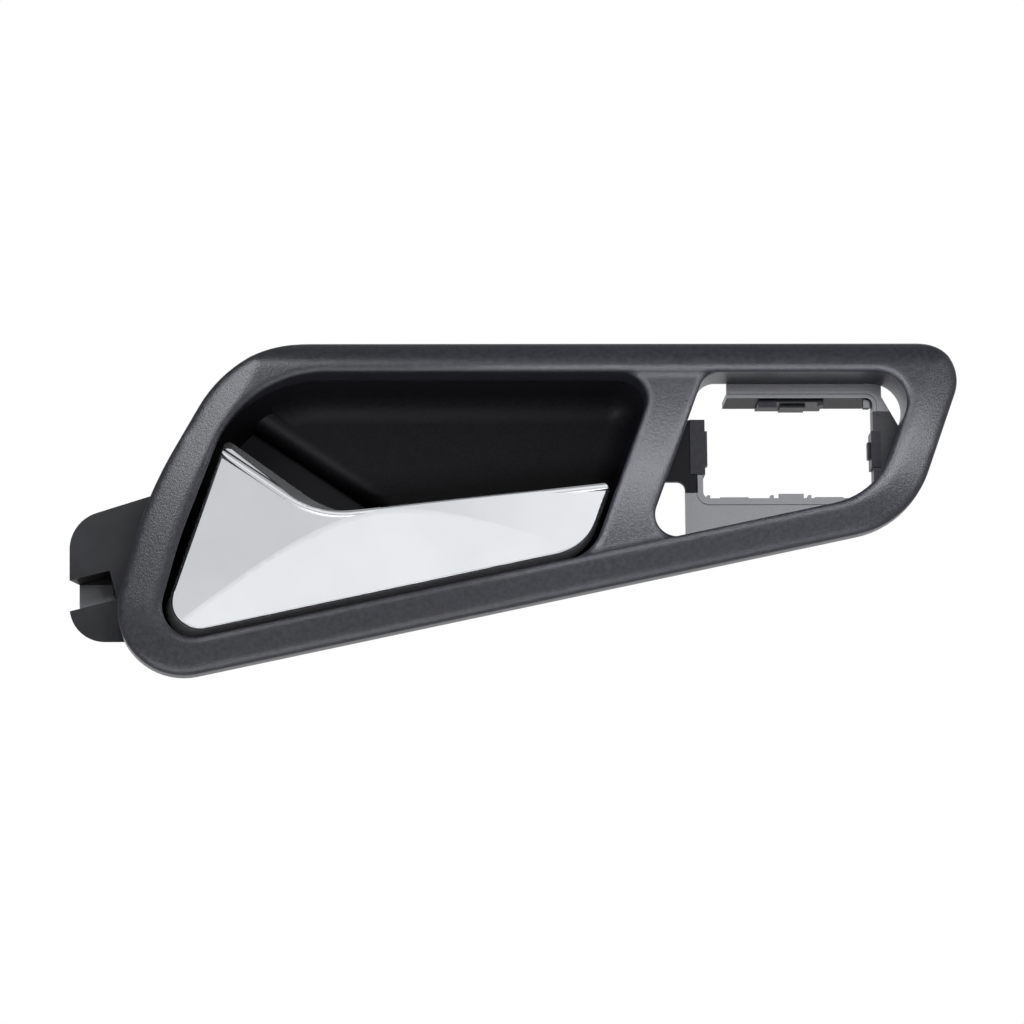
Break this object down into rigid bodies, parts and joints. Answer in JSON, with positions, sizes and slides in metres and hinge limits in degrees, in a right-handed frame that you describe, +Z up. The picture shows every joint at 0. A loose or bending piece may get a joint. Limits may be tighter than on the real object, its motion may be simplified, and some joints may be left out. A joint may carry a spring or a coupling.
{
  "type": "car interior door handle",
  "caption": "Interior car door handle: long slanted bezel with a finger pocket, sprung plated pull lever, cable seat behind it and an open socket for a switch.",
  "frame": {"origin": "midway between the two panel screw holes, on the plane where the bezel's rim meets the door panel", "axes": "+X along the handle toward the switch socket, +Y back into the door, +Z up"},
  "size_m": [0.2642, 0.043, 0.1],
  "materials": {
    "grained_black": "fine moulded grain",
    "satin_black": "satin",
    "moulded_black": "smooth moulded",
    "rubber_black": "matte",
    "plated_steel": "bright",
    "spring_steel": "drawn wire",
    "bright_chrome": "mirror plated",
    "clip_steel": "blackened",
    "zinc_steel": "zinc plated"
  },
  "bodies": {
    "carrier": {"bezel": "grained_black", "pocket_bowl": "satin_black", "hinge_housing": "moulded_black", "rest_bumper": "rubber_black", "open_bumper": "rubber_black", "hinge_pin": "plated_steel", "pin_retainer": "plated_steel", "return_spring": "spring_steel", "switch_frame": "moulded_black", "switch_clip_left": "clip_steel", "switch_clip_right": "clip_steel", "switch_clip_top": "clip_steel", "bowl_screws": "zinc_steel", "housing_screws": "zinc_steel", "frame_screws": "zinc_steel"},
    "lever": {"lever_cover": "bright_chrome", "lever_core": "moulded_black", "lever_screws": "zinc_steel"}
  },
  "joints": [
    {"name": "lever_pull", "type": "hinge", "parent": "carrier", "child": "lever", "pos_m": [-0.09696, 0.005, -0.03166], "axis": [-0.3355, 0, -0.9421], "range_deg": [0, 30], "stiffness_Nm_per_rad": 0.16, "springref_deg": -28.65, "deforming": ["return_spring"]}
  ]
}
